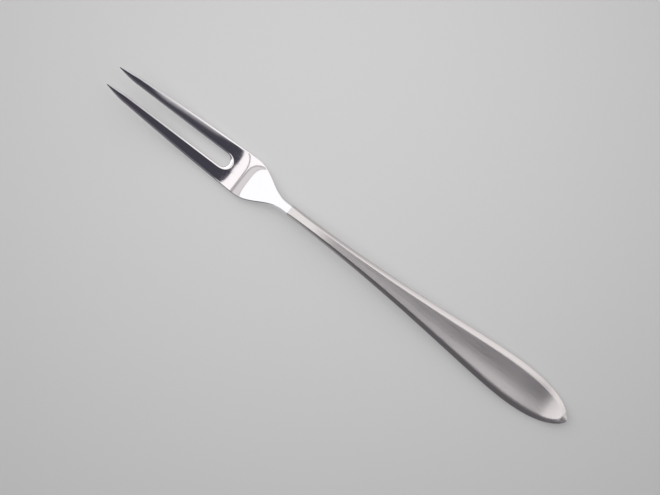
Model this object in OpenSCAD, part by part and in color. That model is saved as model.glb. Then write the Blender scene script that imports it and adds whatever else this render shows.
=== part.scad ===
// Two-tined flesh fork for serving meat, lying on its belly and the heel of its handle.
// A forged and polished head carries a round tang, which is brazed into a satin handle.
// Lengths are in millimetres. X runs from the handle's end to the points of the tines, Z is up,
// and the origin lies on the table under the middle of the fork.

/* [Head outline] */
// Width across the palm at its widest
head_w = 16; // [14:0.1:18]
// Length of each tine from its point to the bottom of the slot
tine_len = 52.9; // [46:0.1:60]
// Length of the palm between the slot and the shoulders
web_len = 8.1; // [5:0.1:11]
// Length of the curved shoulders between palm and neck
shoulder_len = 17.9; // [14:0.1:22]
// Length of the parallel neck in front of the joint
neck_land = 2.3; // [0.6:0.1:4]
// Width of the slot between the tines
slot_w = 5.4; // [4.6:0.1:6.2]
// Width of a tine where its point begins
tine_w = 3; // [2.4:0.1:3.6]
// Length of the pointed end of a tine
point_len = 9.8; // [6:0.1:14]
// Distance between the two points, centre to centre
point_pitch = 7.8; // [7:0.1:8.6]
// Width of the blunt end of a point
point_flat = 0.3; // [0.2:0.05:0.5]
// How far the outer edge of a tine bows, 1 is straight
tine_bow = 1.5; // [1.2:0.05:2]

/* [Handle outline] */
// Width across the handle at its widest
handle_w = 16; // [14:0.1:19]
// Length from the handle's end to its widest place
end_len = 24; // [18:0.5:30]
// Length of the taper from the widest place to the shank
flare_len = 101; // [85:0.5:120]
// Length of the parallel shank behind the joint
shank_land = 3.8; // [2:0.1:6]
// Width of neck and shank at the joint
neck_w = 4.5; // [4:0.1:5.2]
// Roundness of the handle's end beside its tip
end_nose = 1.5; // [0.8:0.1:3]
// Fullness of the end curve towards the widest place
end_full = 0.8; // [0.5:0.05:0.95]
// Fullness of the taper at the broad end
flare_full = 0.18; // [0.05:0.01:0.35]
// Slimness of the taper at the shank
flare_slim = 0.48; // [0.3:0.01:0.6]
// Width of the blunt tip of the handle
end_flat = 0.9; // [0.6:0.1:1.5]

/* [Side view] */
// Height of the underside at the crest of the arch
crest_rise = 4.2; // [3:0.1:6.5]
// Height of the underside at the points of the tines
point_rise = 12; // [7:0.1:15]
// Height of the underside at the handle's end
end_rise = 1.4; // [0.6:0.1:2.4]
// Distance of the crest behind the joint
crest_back = 18.3; // [12:0.1:28]
// Distance of the belly, the low place of the head, in front of the joint
belly_ahead = 23.5; // [18:0.5:28]
// Length of the bend at the crest, in front of which the shank is straight
crest_bend = 7; // [4:0.5:12]
// Length of the bend behind the belly
belly_bend = 12.5; // [8:0.5:18]
// How late the arch falls from crest to heel, 1 is evenly
arch_bow = 1.4; // [1.2:0.05:2]
// Distance of the heel, the low place of the handle, from its end
heel_at = 10.5; // [8:0.5:15]
// Depth by which the heel would dip below the belly if it were not flat
heel_dip = 0.2; // [0.1:0.05:0.4]
// How late the handle's end curls up behind the heel, 1 is straight
end_curl = 1.4; // [1.2:0.1:2]
// Depth of the small flats worn on belly and heel
rest_depth = 0.12; // [0.08:0.01:0.2]

/* [Thickness] */
// Thickness of the points of the tines
point_t = 0.9; // [0.7:0.05:1.3]
// Thickness of the palm at the belly
palm_t = 2.2; // [1.9:0.05:3]
// Thickness of neck and shank at the joint
neck_t = 3.2; // [2.9:0.05:4]
// Thickness of the handle at its widest place
handle_t = 3; // [2.6:0.05:3.8]
// Thickness of the handle at its end
end_t = 2.4; // [2.3:0.05:3]

/* [Edges] */
// Width of the bevel along the edges of the head
head_bevel_w = 0.8; // [0.4:0.05:1]
// Fall of the bevel along the edges of the head
head_bevel_h = 0.6; // [0.3:0.05:0.8]
// Width of the top bevel at the joint
neck_bevel_w = 0.8; // [0.5:0.05:1.1]
// Fall of the top bevel at the joint
neck_bevel_h = 1.2; // [0.8:0.05:1.4]
// Width of the bevelled rim of the handle at its widest place
rim_bevel_w = 2.1; // [1.5:0.05:2.8]
// Fall of the bevelled rim of the handle at its widest place
rim_bevel_h = 1.2; // [0.8:0.05:1.3]
// Width of the lower bevel at the joint
under_neck_w = 0.8; // [0.5:0.05:1.1]
// Rise of the lower bevel at the joint
under_neck_h = 0.45; // [0.3:0.05:0.8]
// Width of the lower bevel of the handle at its widest place
under_rim_w = 2.2; // [1.5:0.05:3]
// Rise of the lower bevel of the handle at its widest place
under_rim_h = 0.8; // [0.4:0.05:0.9]
// Depth of the hollow in the top of the handle at its widest place
dish_depth = 0.33; // [0.2:0.01:0.6]
// Share of the hollow's depth that is left towards the handle's end
dish_end = 0.6; // [0.4:0.05:1]
// How late the rim broadens behind the joint, 1 is evenly
rim_spread = 0.6; // [0.4:0.05:1]
// Share of the rim's fall that is left at the handle's tip
tip_fall = 0.55; // [0.4:0.05:1]
// Distance of the hollow's end from the handle's tip
hollow_inset = 2.4; // [1.6:0.1:4]
// Roundness of the hollow's end
hollow_nose = 1.6; // [0.8:0.1:3]
// Fullness of the hollow's end towards its widest place
hollow_full = 0.7; // [0.5:0.05:0.9]

/* [Brazed joint] */
// Diameter of the tang
tang_d = 1.8; // [1.4:0.1:2]
// Length of the tang inside the handle
tang_len = 9; // [6:0.5:12]
// Gap around the tang that the braze fills, on the radius
braze_gap = 0.03; // [0.02:0.01:0.06]
// Free depth of the bore behind the end of the tang
bore_relief = 0.4; // [0.2:0.1:1]

/* [Hidden] */
steel = [0.78, 0.78, 0.8];
satin = [0.66, 0.65, 0.65];
// Smoothness of tang and bore
round_fn = 64;
// Steps along the curves of the outline
shoulder_steps = 18;
web_steps = 4;
slot_steps = 9;
tine_steps = 18;
point_steps = 10;
end_steps = 26;
flare_steps = 40;
// Steps across the hollow of the handle
dish_steps = 12;
// Halvings that find a place on the hollow's end curve
halvings = 24;
// Narrowest strip kept along the middle, as a share of the half width
strip = 0.05;
// Strip of the palm beside the centre line, as a share of the half width
palm_strip = 0.3;
// Largest share of a tine's width that one edge may take
edge_room = 0.33;
// Places across a rounded edge, as shares of its width from the edge inwards
edge_shares = [for (a = [0:30:90]) 1 - cos(a)];
// Share of the handle's end curve that its blunt tip takes
nose_share = 0.1;

// Places along the fork, measured from the handle's end
joint_at = end_len + flare_len + shank_land;
shoulder_at = joint_at + neck_land;
palm_at = shoulder_at + shoulder_len;
crotch_at = palm_at + web_len;
overall_len = crotch_at + tine_len;
point_at = overall_len - point_len;
slot_r = slot_w / 2;
slot_eye_at = crotch_at + slot_r;
crest_at = joint_at - crest_back;
belly_at = joint_at + belly_ahead;
shank_at = end_len + flare_len;
// Half width of the hollow at its widest place
dish_face = handle_w / 2 - rim_bevel_w;
// Slope of the straight shank between the two bends
shank_slope = crest_rise / (belly_at - crest_at - (crest_bend + belly_bend) / 2);

function mix(a, b, f) = a + (b - a) * f;
function share(f) = min(1, max(0, f));
function ease(f) = (1 - cos(180 * share(f))) / 2;
function arc(a, b, c, d, t) =
    pow(1 - t, 3) * a + 3 * pow(1 - t, 2) * t * b + 3 * (1 - t) * t * t * c + t * t * t * d;
function arc_dir(a, b, c, d, t) =
    3 * pow(1 - t, 2) * (b - a) + 6 * (1 - t) * t * (c - b) + 3 * t * t * (d - c);

// Height of the underside, before the rest flats are taken off
function under(u) =
    u < heel_at ? (end_rise + heel_dip) * pow(1 - u / heel_at, end_curl) - heel_dip :
    u < crest_at ?
        crest_rise - (crest_rise + heel_dip) * pow((crest_at - u) / (crest_at - heel_at), arch_bow) :
    u < crest_at + crest_bend ? crest_rise - shank_slope * pow(u - crest_at, 2) / (2 * crest_bend) :
    u < belly_at - belly_bend ? shank_slope * (belly_at - u - belly_bend / 2) :
    u < belly_at ? shank_slope * pow(belly_at - u, 2) / (2 * belly_bend) :
    point_rise * pow((u - belly_at) / (overall_len - belly_at), 2);
function thick(u) =
    u < end_len ? mix(end_t, handle_t, ease(u / end_len)) :
    u < joint_at ? mix(handle_t, neck_t, ease((u - end_len) / (joint_at - end_len))) :
    u < belly_at ? mix(neck_t, palm_t, ease((u - joint_at) / (belly_at - joint_at))) :
    mix(palm_t, point_t, pow((u - belly_at) / (overall_len - belly_at), 2));
function floor_z(u) = max(0, under(u) - rest_depth);
function top_z(u) = under(u) - rest_depth + thick(u);
function core_z(u) = (under(u) - rest_depth) + thick(u) / 2;
function place(u, y, z) = [u - overall_len / 2, y, z];
// Triangles that close a loop of points about one in its middle
function fan(loop, middle) = [for (j = [0:len(loop) - 1]) [loop[j], loop[(j + 1) % len(loop)], middle]];

// Share of the pointed end still ahead, 1 where the point begins
function point_share(u) = share((overall_len - u) / point_len);
function point_w(u) = mix(point_flat, tine_w, sin(90 * point_share(u)));
function point_mid(u) = mix(point_pitch / 2, slot_r + tine_w / 2, point_share(u));
function outer_y(u) =
    u <= palm_at ? mix(neck_w / 2, head_w / 2, ease((u - shoulder_at) / shoulder_len)) :
    u <= point_at ? mix(head_w / 2, slot_r + tine_w,
        pow((u - palm_at) / (point_at - palm_at), tine_bow)) :
    point_mid(u) + point_w(u) / 2;
function slot_y(u, r) = u >= slot_eye_at ? r : sqrt(max(0, r * r - pow(u - slot_eye_at, 2)));
function inner_y(u) =
    u <= crotch_at ? 0 :
    u <= point_at ? slot_y(u, slot_r) :
    point_mid(u) - point_w(u) / 2;

// Blend from the rounded edges of the head, 0, to the straight bevels of the neck, 1
function neck_share(u) = 1 - ease((u - joint_at) / shoulder_len);
// Share of an edge's fall that is left at a share of its width, from edge inwards
function fall(q, straight) = mix(1 - sqrt(1 - pow(1 - share(q), 2)), 1 - share(q), straight);
// Distance of a point of the head from the slot, and the place across at such a distance
function slot_gap(u, y) =
    u >= slot_eye_at ? y - inner_y(u) : max(0, norm([u - slot_eye_at, y]) - slot_r);
function beside_slot(u, d, least) =
    u >= slot_eye_at ? inner_y(u) + d : max(inner_y(u), least, slot_y(u, slot_r + d));
// One half of the head's section: top from the middle outwards, then the underside back
function head_half(u) =
    let (
        n = neck_share(u),
        k = thick(u) / mix(palm_t, neck_t, n),
        yo = outer_y(u),
        room = u > crotch_at ? (yo - inner_y(u)) * edge_room : yo,
        bw = min(room, mix(head_bevel_w, neck_bevel_w, n)),
        bh = k * mix(head_bevel_h, neck_bevel_h, n),
        uw = min(room, mix(head_bevel_w, under_neck_w, n)),
        uh = k * mix(head_bevel_h, under_neck_h, n),
        high = top_z(u),
        low = floor_z(u)
    )
    concat(
        [for (q = edge_shares)
            let (y = beside_slot(u, q * bw, q * yo * palm_strip))
            place(u, y, high - bh * fall(slot_gap(u, y) / bw, n))],
        [for (i = [1:len(edge_shares)])
            let (q = edge_shares[len(edge_shares) - i])
            place(u, yo - q * bw, high - bh * fall(q, n))],
        [for (q = edge_shares) place(u, yo - q * uw, low + uh * fall(q, n))],
        [for (i = [1:len(edge_shares)])
            let (
                q = edge_shares[len(edge_shares) - i],
                y = beside_slot(u, q * uw, q * yo * palm_strip)
            )
            place(u, y, low + uh * fall(slot_gap(u, y) / uw, n))]
    );
head_stations = concat(
    [joint_at],
    [for (i = [0:shoulder_steps - 1]) shoulder_at + shoulder_len * i / shoulder_steps],
    [for (i = [0:web_steps - 1]) palm_at + (web_len - head_bevel_w) * i / web_steps],
    [crotch_at - head_bevel_w, crotch_at - head_bevel_w / 2, crotch_at],
    [for (i = [1:slot_steps]) slot_eye_at - slot_r * cos(90 * i / slot_steps)],
    [for (i = [1:tine_steps]) slot_eye_at + (point_at - slot_eye_at) * i / tine_steps],
    [for (i = [1:point_steps]) overall_len - point_len * cos(90 * i / point_steps)]
);
crotch_row = shoulder_steps + web_steps + 3;

// Skin of the head: two mirrored halves that share the centre line as far as the slot
module head_skin() {
    rows = len(head_stations);
    half = 4 * len(edge_shares);
    right = [for (u = head_stations) each head_half(u)];
    left = [for (p = right) [p[0], -p[1], p[2]]];
    function at(side, row, j) =
        side == 1 && row <= crotch_row && (j == 0 || j == half - 1) ? row * half + j :
        side * rows * half + row * half + j;
    function turned(side, f) = side == 0 ? f : [for (j = [len(f) - 1:-1:0]) f[j]];
    last = rows - 1;
    skin = [for (side = [0, 1], row = [0:last - 1], j = [0:half - 1])
        if (j < half - 1 || row >= crotch_row)
        let (
            n = (j + 1) % half,
            a = at(side, row, j),
            b = at(side, row, n),
            c = at(side, row + 1, n),
            d = at(side, row + 1, j)
        )
        each [turned(side, [a, b, c]), turned(side, [a, c, d])]];
    points = [for (side = [0, 1]) turned(side, [for (j = [0:half - 1]) at(side, last, j)])];
    back = concat(
        [for (j = [half - 1:-1:0]) at(0, 0, j)],
        [for (j = [1:half - 2]) at(1, 0, j)]
    );
    polyhedron(
        points = concat(right, left, [place(joint_at, 0, core_z(joint_at))]),
        faces = concat(skin, points, fan(back, 2 * rows * half)),
        convexity = 8
    );
}

// Handle outline: half width and direction at a share of each curve
function end_curve(t) =
    let (
        u = arc(0, 0, end_len * (1 - end_full), end_len, t),
        w = arc(0, end_nose, handle_w / 2, handle_w / 2, t),
        du = arc_dir(0, 0, end_len * (1 - end_full), end_len, t),
        dw = arc_dir(0, end_nose, handle_w / 2, handle_w / 2, t)
    )
    [u, max(end_flat / 2, w), max(strip, du / norm([du, dw]))];
function flare_curve(t) =
    let (
        fat = end_len + flare_len * flare_full,
        slim = shank_at - flare_len * flare_slim,
        u = arc(end_len, fat, slim, shank_at, t),
        w = arc(handle_w / 2, handle_w / 2, neck_w / 2, neck_w / 2, t),
        du = arc_dir(end_len, fat, slim, shank_at, t),
        dw = arc_dir(handle_w / 2, handle_w / 2, neck_w / 2, neck_w / 2, t)
    )
    [u, w, du / norm([du, dw])];
// Share of the rim's full breadth, 0 at the joint and 1 in the broad end
function rim_share(u) = pow(share((joint_at - u) / (joint_at - end_len)), rim_spread);
// Share of the hollow's end curve at a place, found by halving, and its half width there
function hollow_at(t) = arc(hollow_inset, hollow_inset, end_len * (1 - hollow_full), end_len, t);
function hollow_t(u, low = 0, high = 1, left = halvings) =
    left == 0 ? low :
    hollow_at((low + high) / 2) > u ? hollow_t(u, low, (low + high) / 2, left - 1) :
    hollow_t(u, (low + high) / 2, high, left - 1);
function hollow_half(u) = u <= hollow_inset ? 0 : arc(0, hollow_nose, dish_face, dish_face, hollow_t(u));

// Full section of the handle: hollow top, bevelled rim, edge and underside
function handle_ring(s) =
    let (
        u = s[0],
        w = s[1],
        f = rim_share(u),
        nose = share(1 - u / hollow_inset),
        bw = mix(neck_bevel_w, rim_bevel_w, f) / s[2],
        bh = mix(neck_bevel_h, rim_bevel_h, f) * mix(tip_fall, 1, ease(u / end_len)),
        uw = mix(under_neck_w, under_rim_w, f) / s[2],
        uh = mix(under_neck_h, under_rim_h, f),
        face = max(strip * w, u < end_len ? hollow_half(u) : w - bw),
        flat = max(strip * w, u < end_len ? face + rim_bevel_w - under_rim_w : w - uw),
        rim = top_z(u) - bh * nose,
        low = floor_z(u),
        keel = low + uh * nose,
        sag = f * dish_depth * pow(face / dish_face, 2) * mix(dish_end, 1, ease(u / (2 * end_len)))
    )
    concat(
        [for (i = [0:dish_steps])
            let (c = 1 - 2 * i / dish_steps)
            place(u, c * face, rim - sag * pow(1 - c * c, 2))],
        [place(u, -w, top_z(u) - bh)],
        [for (q = edge_shares) place(u, -mix(w, flat, q), keel + (low + uh - keel) * fall(q, 1 - f))],
        [for (i = [1:len(edge_shares)])
            let (q = edge_shares[len(edge_shares) - i])
            place(u, mix(w, flat, q), keel + (low + uh - keel) * fall(q, 1 - f))],
        [place(u, w, top_z(u) - bh)]
    );
handle_stations = concat(
    [end_curve(0)],
    [for (i = [0:end_steps]) end_curve(mix(nose_share, 1, i / end_steps))],
    [for (i = [1:flare_steps]) flare_curve(i / flare_steps)],
    [[joint_at, neck_w / 2, 1]]
);

module handle_skin() {
    rows = len(handle_stations);
    ring = dish_steps + 3 + 2 * len(edge_shares);
    skin = [for (row = [0:rows - 2], j = [0:ring - 1])
        let (
            n = (j + 1) % ring,
            a = row * ring + j,
            b = row * ring + n,
            c = (row + 1) * ring + n,
            d = (row + 1) * ring + j
        )
        each [[a, c, b], [a, d, c]]];
    tail = [for (j = [0:ring - 1]) j];
    front = [for (j = [ring - 1:-1:0]) (rows - 1) * ring + j];
    tip_at = handle_stations[0][0];
    polyhedron(
        points = concat(
            [for (s = handle_stations) each handle_ring(s)],
            [place(tip_at, 0, core_z(tip_at)), place(joint_at, 0, core_z(joint_at))]
        ),
        faces = concat(skin, fan(tail, rows * ring), fan(front, rows * ring + 1)),
        convexity = 6
    );
}

// The tang grows out of the neck and points back into the middle of the shank
tang_root = tang_d;
bore_d = tang_d + 2 * braze_gap;
bore_len = tang_len + bore_relief;
tang_pitch = atan((core_z(joint_at) - core_z(joint_at - bore_len)) / bore_len);
module peg(d, len) {
    translate(place(joint_at, 0, core_z(joint_at)))
        rotate([0, -90 - tang_pitch, 0])
            translate([0, 0, -tang_root])
                cylinder(d = d, h = tang_root + len, $fn = round_fn);
}

module fork_head() {
    color(steel)
        union() {
            head_skin();
            peg(tang_d, tang_len);
        }
}

module handle() {
    color(satin)
        difference() {
            handle_skin();
            peg(bore_d, bore_len);
        }
}

fork_head();
handle();
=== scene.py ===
"""Flesh fork with two tines: a polished head and a satin handle, lying on a pale table."""
import logging
import math
from dataclasses import dataclass
from enum import Enum
from typing import ClassVar

import bmesh
import bpy
import numpy as np
from mathutils import Matrix, Vector
from mathutils.geometry import delaunay_2d_cdt


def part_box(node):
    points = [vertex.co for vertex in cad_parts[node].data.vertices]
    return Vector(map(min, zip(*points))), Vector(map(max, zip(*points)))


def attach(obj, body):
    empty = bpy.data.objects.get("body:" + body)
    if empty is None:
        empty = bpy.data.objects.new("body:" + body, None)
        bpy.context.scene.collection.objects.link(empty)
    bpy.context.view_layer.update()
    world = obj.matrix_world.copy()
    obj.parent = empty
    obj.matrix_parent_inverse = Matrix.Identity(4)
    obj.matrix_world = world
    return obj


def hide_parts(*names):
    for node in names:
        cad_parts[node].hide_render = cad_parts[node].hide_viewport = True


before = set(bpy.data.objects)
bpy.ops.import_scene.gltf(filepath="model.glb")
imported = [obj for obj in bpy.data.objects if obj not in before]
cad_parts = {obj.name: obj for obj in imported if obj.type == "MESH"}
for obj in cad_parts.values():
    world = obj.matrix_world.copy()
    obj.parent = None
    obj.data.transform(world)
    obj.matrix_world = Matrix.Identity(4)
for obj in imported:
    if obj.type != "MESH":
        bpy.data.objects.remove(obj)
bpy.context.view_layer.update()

LOG = logging.getLogger("flesh_fork")
MM = 0.001
BODY = "root"
MATH = "ShaderNodeMath"
VECTOR_MATH = "ShaderNodeVectorMath"
COMBINE = "ShaderNodeCombineXYZ"
# A Mix node's inputs for its two colours, and its output for the mixed one
COLOUR_A, COLOUR_B, COLOUR_MIX = 6, 7, 2
# Range that most values of a noise texture lie in
NOISE_SPAN = (0.35, 0.65)
# Points closer than this, in metres, are one point
MERGE_REACH = 1e-7
# Asks a triangulation for the faces inside its border only
INSIDE_ONLY = 1
# Faces that meet at more than this are a true corner, such as the cut at the joint
CORNER_ANGLE = math.radians(50)

Point = tuple[float, float, float]
Socket = bpy.types.NodeSocket


class Slot(Enum):
    """Material slots of the part."""

    POLISHED = "polished_steel"
    SATIN = "satin_steel"


class Fade(Enum):
    """Ways in which one tone gives way to another."""

    EVEN = "LINEAR"
    SOFT = "SMOOTHSTEP"


@dataclass(frozen=True)
class Sum:
    """One sum in a node tree: the name of its result, what it does, and the names of its terms."""

    name: str
    operation: str
    terms: tuple[str, ...]
    kind: str = MATH
    out: int | str = 0


def mix(start: float, end: float, share: float) -> float:
    """Value at a share of the way from start to end."""
    return start + (end - start) * share


def within(share: float) -> float:
    """Share kept between 0 and 1."""
    return min(1.0, max(0.0, share))


def ease(share: float) -> float:
    """Cosine step from 0 to 1, level at both ends."""
    return (1 - math.cos(math.pi * within(share))) / 2


def cubic(a: float, b: float, c: float, d: float, t: float) -> float:
    """Cubic curve from a to d with the handles b and c, at the share t."""
    s = 1 - t
    return s**3 * a + 3 * s * s * t * b + 3 * s * t * t * c + t**3 * d


def cubic_slope(a: float, b: float, c: float, d: float, t: float) -> float:
    """Slope of the same cubic curve at the share t."""
    s = 1 - t
    return 3 * s * s * (b - a) + 6 * s * t * (c - b) + 3 * t * t * (d - c)


def steps(start: float, end: float, count: int) -> list[float]:
    """Evenly spaced values after start, up to and with end."""
    return [mix(start, end, i / count) for i in range(1, count + 1)]


def edge_fall(share: float, straight: float) -> float:
    """Part of an edge's fall that is left at a share of its width.

    Args:
        share: Place across the edge, 0 at its outside and 1 where the flat begins.
        straight: 0 for a rounded edge, 1 for a straight bevel.

    Returns:
        1 at the outside, 0 at the flat.
    """
    out = 1 - within(share)
    return mix(1 - math.sqrt(1 - out * out), out, straight)


def linear(colour: str) -> tuple[float, float, float, float]:
    """Linear colour of an sRGB hex value.

    Args:
        colour: Hex value such as #C8C8C8.

    Returns:
        Red, green, blue and an alpha of 1.
    """
    parts = [int(colour[i : i + 2], 16) / 255 for i in (1, 3, 5)]
    red, green, blue = (p / 12.92 if p <= 0.04045 else ((p + 0.055) / 1.055) ** 2.4 for p in parts)
    return red, green, blue, 1.0


def add_node(
    tree: bpy.types.NodeTree,
    kind: str,
    settings: dict[str, object] | None = None,
    inputs: dict[str | int, object] | None = None,
) -> bpy.types.Node:
    """Add one node with its settings, values and links.

    Args:
        tree: Shader or geometry tree that takes the node.
        kind: Blender's type of the node.
        settings: Properties of the node by name.
        inputs: Values or linked sockets by the input's name or number.

    Returns:
        The new node.
    """
    node = tree.nodes.new(kind)
    for name, value in (settings or {}).items():
        setattr(node, name, value)
    for key, value in (inputs or {}).items():
        if isinstance(value, Socket):
            tree.links.new(value, node.inputs[key])
        else:
            node.inputs[key].default_value = value
    return node


def add_sums(
    tree: bpy.types.NodeTree, sums: tuple[Sum, ...], known: dict[str, object]
) -> dict[str, object]:
    """Add the nodes of a chain of sums.

    Args:
        tree: Shader or geometry tree that takes the nodes.
        sums: Sums in order, each of which may use the results before it.
        known: Sockets and values that the sums start from, by name.

    Returns:
        What was known and the results, by name.
    """
    found = dict(known)
    for item in sums:
        settings = {"operation": item.operation} if item.operation else None
        node = add_node(tree, item.kind, settings, {i: found[term] for i, term in enumerate(item.terms)})
        found[item.name] = node.outputs[item.out]
    return found


def fade(
    tree: bpy.types.NodeTree,
    way: Fade,
    value: Socket,
    span: tuple[float, float],
    tones: tuple[object, object],
) -> Socket:
    """Let one tone give way to another.

    Args:
        tree: Shader tree that takes the nodes.
        way: How the tones change across the span.
        value: Value that the tones follow.
        span: Values at which the first tone ends and the second is full.
        tones: The two tones, as colours or sockets.

    Returns:
        The tone at the value.
    """
    share = add_node(
        tree,
        "ShaderNodeMapRange",
        {"interpolation_type": way.value},
        {"Value": value, "From Min": span[0], "From Max": span[1]},
    )
    mixed = add_node(
        tree,
        "ShaderNodeMix",
        {"data_type": "RGBA"},
        {"Factor": share.outputs["Result"], COLOUR_A: tones[0], COLOUR_B: tones[1]},
    )
    return mixed.outputs[COLOUR_MIX]


def empty_tree(owner: bpy.types.Material | bpy.types.World) -> bpy.types.NodeTree:
    """Give a material or a world an empty node tree.

    Args:
        owner: The material or world.

    Returns:
        Its tree.
    """
    owner.use_nodes = True
    owner.node_tree.nodes.clear()
    return owner.node_tree


def place_object(name: str, data: bpy.types.ID) -> bpy.types.Object:
    """Put data in the scene.

    Args:
        name: Name of the object.
        data: Its mesh, lamp or camera.

    Returns:
        The object, at the origin.
    """
    made = bpy.data.objects.new(name, data)
    bpy.context.scene.collection.objects.link(made)
    return made


def show_piece(name: str, mesh: bpy.types.Mesh) -> bpy.types.Object:
    """Close a mesh, turn its faces outwards and put it in the scene.

    Args:
        name: Name of the piece.
        mesh: Mesh in metres, at its place in the frame.

    Returns:
        The piece's object, at the origin.
    """
    work = bmesh.new()
    work.from_mesh(mesh)
    bmesh.ops.remove_doubles(work, verts=work.verts, dist=MERGE_REACH)
    bmesh.ops.recalc_face_normals(work, faces=work.faces)
    work.to_mesh(mesh)
    work.free()
    mesh.polygons.foreach_set("use_smooth", [True] * len(mesh.polygons))
    mesh.set_sharp_from_angle(angle=CORNER_ANGLE)
    mesh.name = name
    return place_object(name, mesh)


def point_chain(name: str, closed: bool, values: dict[str, np.ndarray]) -> bpy.types.Object:
    """Chain of points that carries values for a geometry tree.

    Args:
        name: Name of the object.
        closed: True where the last point joins the first.
        values: Numbers or vectors for each point, by attribute name.

    Returns:
        The chain's object.
    """
    mesh = bpy.data.meshes.new(name)
    count = len(next(iter(values.values())))
    turn = [2 * math.pi * i / count for i in range(count)]
    points = [(math.cos(a), math.sin(a), 0) if closed else (i * MM, 0, 0) for i, a in enumerate(turn)]
    edges = [(i, (i + 1) % count) for i in range(count if closed else count - 1)]
    mesh.from_pydata(points, edges, [])
    for label, data in values.items():
        vector = data.ndim == 2
        attribute = mesh.attributes.new(label, "FLOAT_VECTOR" if vector else "FLOAT", "POINT")
        attribute.data.foreach_set("vector" if vector else "value", data.astype(np.float32).ravel())
    return place_object(name, mesh)


@dataclass(frozen=True)
class Steel:
    """Stainless steel with fine lines along the fork, with sizes in millimetres."""

    name: str
    roughness: tuple[float, float]
    line_length: float
    line_width: float
    # How far down a steep edge the tone of a line runs
    line_height: float
    line_detail: float

    def lines(self, tree: bpy.types.NodeTree, place: Socket) -> Socket:
        """Fine lines along the fork.

        Args:
            tree: Tree of the material.
            place: Object coordinates.

        Returns:
            Noise that changes slowly along the fork and fast across it.
        """
        scale = tuple(1 / (size * MM) for size in (self.line_length, self.line_width, self.line_height))
        drawn = add_node(tree, "ShaderNodeMapping", inputs={"Vector": place, "Scale": scale}).outputs[0]
        noise = {"Vector": drawn, "Scale": 1.0, "Detail": self.line_detail}
        return add_node(tree, "ShaderNodeTexNoise", inputs=noise).outputs["Fac"]

    def surface(
        self, tree: bpy.types.NodeTree, colour: object, wear: Socket, relief: Socket, depth: float
    ) -> None:
        """Add the metal itself.

        Args:
            tree: Tree of the material.
            colour: Colour, or the socket that gives it.
            wear: Noise that the roughness follows.
            relief: Noise that the height of the surface follows.
            depth: Height of that relief in millimetres.
        """
        rough = add_node(
            tree,
            "ShaderNodeMapRange",
            inputs={
                "Value": wear,
                "From Min": NOISE_SPAN[0],
                "From Max": NOISE_SPAN[1],
                "To Min": self.roughness[0],
                "To Max": self.roughness[1],
            },
        )
        bump = add_node(tree, "ShaderNodeBump", inputs={"Height": relief, "Distance": depth * MM})
        shader = add_node(
            tree,
            "ShaderNodeBsdfPrincipled",
            inputs={
                "Base Color": colour,
                "Metallic": 1.0,
                "Roughness": rough.outputs["Result"],
                "Normal": bump.outputs["Normal"],
            },
        )
        add_node(tree, "ShaderNodeOutputMaterial", inputs={"Surface": shader.outputs["BSDF"]})


@dataclass(frozen=True)
class PolishedSteel(Steel):
    """Stainless steel buffed to a mirror.

    The eye sees the room in it, a little soft where the wheel left faint lines along the fork
    and a little uneven where the hand pressed harder.
    """

    name: str = "stainless_steel_mirror_polished"
    roughness: tuple[float, float] = (0.025, 0.06)
    # Faint buffing lines, drawn four times as wide as real ones so that they show
    line_length: float = 9.0
    line_width: float = 0.12
    line_height: float = 3.0
    line_detail: float = 3.0
    colour: str = "#E6E5E7"
    # Slow unevenness of a hand-buffed face
    wave_length: float = 7.0
    wave_height: float = 0.0012
    wave_detail: float = 1.0

    def make(self) -> bpy.types.Material:
        """Build the material.

        Returns:
            Steel with its buffing lines and its unevenness.
        """
        material = bpy.data.materials.new(self.name)
        tree = empty_tree(material)
        place = add_node(tree, "ShaderNodeTexCoord").outputs["Object"]
        noise = {"Vector": place, "Scale": 1 / (self.wave_length * MM), "Detail": self.wave_detail}
        waves = add_node(tree, "ShaderNodeTexNoise", inputs=noise).outputs["Fac"]
        self.surface(tree, linear(self.colour), self.lines(tree, place), waves, self.wave_height)
        return material


@dataclass(frozen=True)
class SatinSteel(Steel):
    """Stainless steel brushed along its length with fine grit.

    The eye sees broad soft light without an image, a grain of thin lines along the handle, and
    faint clouds where the brush bit less.
    """

    name: str = "stainless_steel_satin_brushed"
    roughness: tuple[float, float] = (0.27, 0.32)
    # Scratches of the grit, drawn about five times as wide as real ones so that they show
    line_length: float = 22.0
    line_width: float = 0.25
    line_height: float = 3.0
    line_detail: float = 4.0
    line_depth: float = 0.0006
    light: str = "#D9D6D5"
    dark: str = "#CAC7C7"
    # Clouds of lighter and duller brushing, and their share beside that of the lines
    cloud_size: float = 8.0
    cloud_detail: float = 0.0
    cloud_share: float = 0.1

    def make(self) -> bpy.types.Material:
        """Build the material.

        Returns:
            Steel with its brushed grain and its clouds.
        """
        material = bpy.data.materials.new(self.name)
        tree = empty_tree(material)
        place = add_node(tree, "ShaderNodeTexCoord").outputs["Object"]
        lines = self.lines(tree, place)
        noise = {"Vector": place, "Scale": 1 / (self.cloud_size * MM), "Detail": self.cloud_detail}
        clouds = add_node(tree, "ShaderNodeTexNoise", inputs=noise).outputs["Fac"]
        shares = {"Factor": self.cloud_share, "A": lines, "B": clouds}
        wear = add_node(tree, "ShaderNodeMix", {"data_type": "FLOAT"}, shares).outputs["Result"]
        tones = {"Factor": wear, COLOUR_A: linear(self.dark), COLOUR_B: linear(self.light)}
        tone = add_node(tree, "ShaderNodeMix", {"data_type": "RGBA"}, tones).outputs[COLOUR_MIX]
        self.surface(tree, tone, wear, lines, self.line_depth)
        return material


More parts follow.
